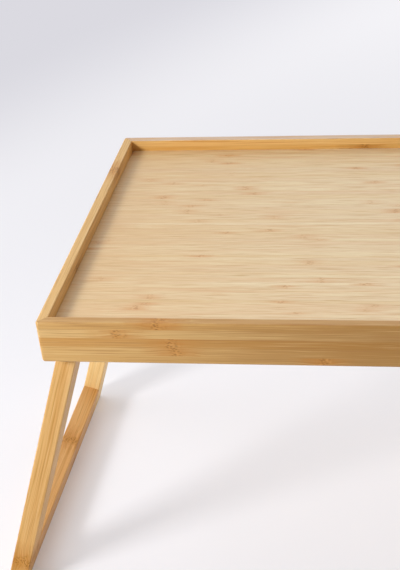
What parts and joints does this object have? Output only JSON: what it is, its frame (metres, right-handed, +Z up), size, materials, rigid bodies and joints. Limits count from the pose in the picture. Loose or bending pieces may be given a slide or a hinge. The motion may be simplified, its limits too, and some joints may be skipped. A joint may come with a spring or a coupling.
{
  "type": "bed tray table",
  "caption": "Rectangular bamboo bed tray with a shallow mitred rim on splayed leg frames that fold flat underneath.",
  "frame": {"origin": "on the floor, under the middle of the tray, with both leg frames open", "axes": "+X along the tray towards its right end, +Y from its front to its rear, +Z up"},
  "size_m": [0.7292, 0.3, 0.275],
  "materials": {
    "bamboo_panel": "clear satin lacquer on strip bamboo",
    "bamboo_rim": "clear satin lacquer on laminated bamboo",
    "bamboo_leg": "clear satin lacquer on laminated bamboo",
    "bamboo_key": "bare sawn bamboo, hidden in the joint",
    "beech_dowel": "bare fluted beech, hidden in the joint",
    "steel": "zinc-plated steel",
    "brass": "turned brass",
    "nylon": "natural nylon"
  },
  "bodies": {
    "tray": {"tray_panel": "bamboo_panel", "front_rim": "bamboo_rim", "rear_rim": "bamboo_rim", "left_rim": "bamboo_rim", "right_rim": "bamboo_rim", "front_left_spline": "bamboo_key", "front_left_pivot_insert": "brass", "front_left_pivot_spacer": "nylon", "front_left_pivot_washer": "steel", "front_left_pivot_bolt": "steel", "rear_left_spline": "bamboo_key", "rear_left_pivot_insert": "brass", "rear_left_pivot_spacer": "nylon", "rear_left_pivot_washer": "steel", "rear_left_pivot_bolt": "steel", "front_right_spline": "bamboo_key", "front_right_pivot_insert": "brass", "front_right_pivot_spacer": "nylon", "front_right_pivot_washer": "steel", "front_right_pivot_bolt": "steel", "rear_right_spline": "bamboo_key", "rear_right_pivot_insert": "brass", "rear_right_pivot_spacer": "nylon", "rear_right_pivot_washer": "steel", "rear_right_pivot_bolt": "steel"},
    "left_leg_frame": {"left_foot_rail": "bamboo_leg", "front_left_leg": "bamboo_leg", "front_left_rail_dowels": "beech_dowel", "rear_left_leg": "bamboo_leg", "rear_left_rail_dowels": "beech_dowel"},
    "right_leg_frame": {"right_foot_rail": "bamboo_leg", "front_right_leg": "bamboo_leg", "front_right_rail_dowels": "beech_dowel", "rear_right_leg": "bamboo_leg", "rear_right_rail_dowels": "beech_dowel"}
  },
  "joints": [
    {"name": "left_leg_fold", "type": "hinge", "parent": "tray", "child": "left_leg_frame", "pos_m": [-0.2702, 0, 0.251], "axis": [0, -1, 0], "range_deg": [0, 109]},
    {"name": "right_leg_fold", "type": "hinge", "parent": "tray", "child": "right_leg_frame", "pos_m": [0.2702, 0, 0.251], "axis": [0, 1, 0], "range_deg": [0, 109]}
  ]
}
